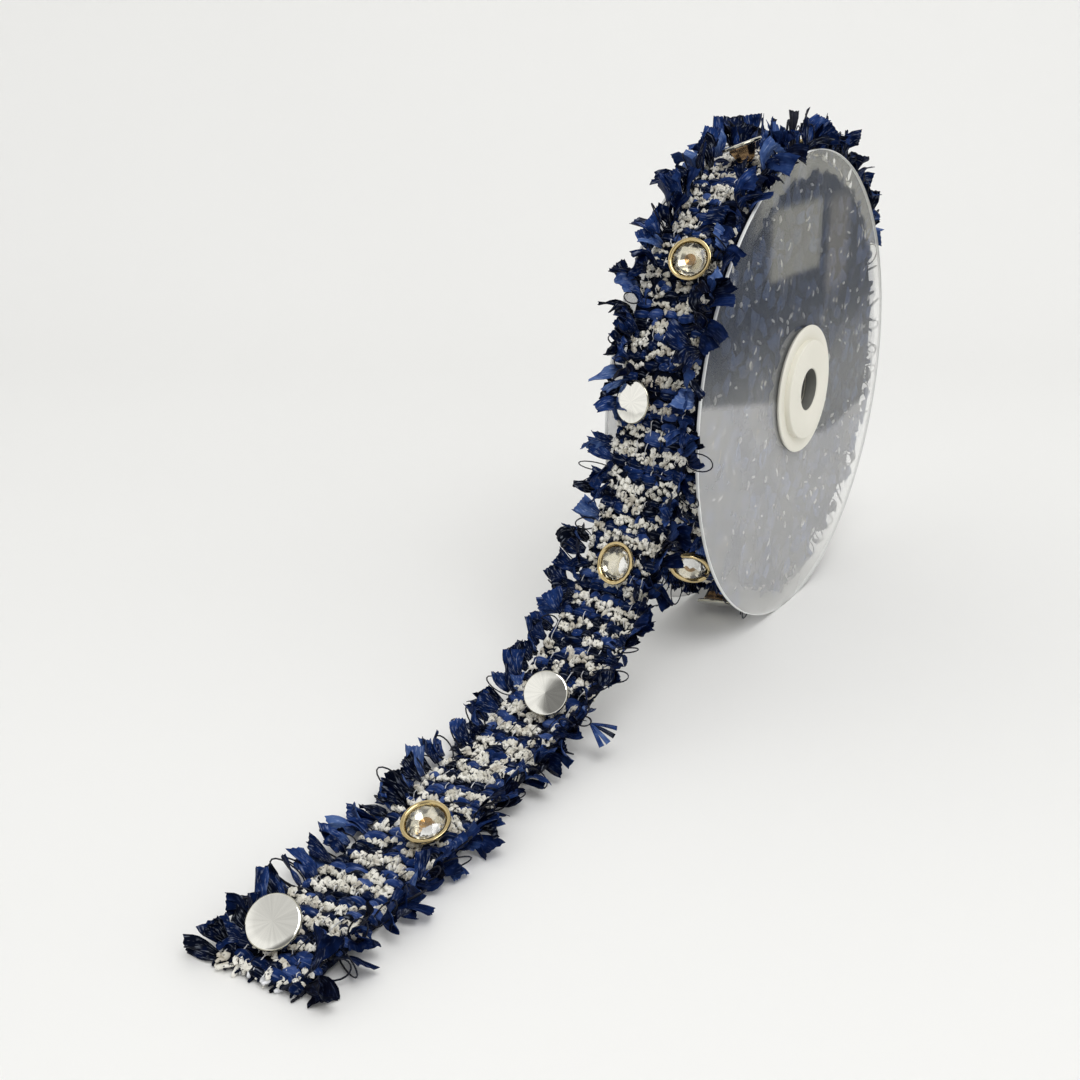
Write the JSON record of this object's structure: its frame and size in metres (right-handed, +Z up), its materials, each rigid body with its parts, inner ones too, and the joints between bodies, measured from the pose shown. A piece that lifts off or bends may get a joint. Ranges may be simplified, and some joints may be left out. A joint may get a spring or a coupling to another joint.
{
  "type": "fringed stud trim on a clear reel",
  "caption": "Fringed tweed trim set with polished and crystal studs, wound on a clear flanged reel with a bored core, its loose end trailing on the surface.",
  "frame": {"origin": "on the supporting surface, under the middle of the whole object's box; the reel's axis is 68 mm behind it", "axes": "+Z up; +X along the reel's axis, towards the flange and cap called near; -Y towards the trim's loose end"},
  "size_m": [0.0408, 0.2648, 0.1255],
  "materials": {
    "clear": "thin clear plastic sheet, slightly hazy, gloss",
    "ivory": "moulded ivory plastic, soft gloss",
    "tweed": "slubbed ivory yarn and navy ribbon yarn in crosswise bands",
    "ribbon": "navy satin ribbon yarn, cut ends, and dark binding thread",
    "silver": "polished",
    "gold": "polished",
    "crystal": "clear faceted, foiled at the back"
  },
  "bodies": {
    "root": {"flange_near": "clear", "flange_far": "clear", "core": "ivory", "hub_cap_near": "ivory", "hub_cap_far": "ivory", "roll": "tweed", "tail": "tweed", "fringe_front_near": "ribbon", "fringe_back_near": "ribbon", "fringe_lower_near": "ribbon", "fringe_under_near": "ribbon", "fringe_hang_near": "ribbon", "fringe_bend_near": "ribbon", "fringe_land_near": "ribbon", "fringe_floor_near": "ribbon", "fringe_front_far": "ribbon", "fringe_back_far": "ribbon", "fringe_lower_far": "ribbon", "fringe_under_far": "ribbon", "fringe_hang_far": "ribbon", "fringe_bend_far": "ribbon", "fringe_land_far": "ribbon", "fringe_floor_far": "ribbon", "stud_silver_1": "silver", "stud_silver_3": "silver", "stud_silver_5": "silver", "stud_silver_7": "silver", "stud_silver_9": "silver", "stud_silver_11": "silver", "stud_silver_13": "silver", "stud_cup_2": "gold", "stud_crystal_2": "crystal", "stud_cup_4": "gold", "stud_crystal_4": "crystal", "stud_cup_6": "gold", "stud_crystal_6": "crystal", "stud_cup_8": "gold", "stud_crystal_8": "crystal", "stud_cup_10": "gold", "stud_crystal_10": "crystal", "stud_cup_12": "gold", "stud_crystal_12": "crystal", "stud_cup_14": "gold", "stud_crystal_14": "crystal"}
  },
  "joints": []
}
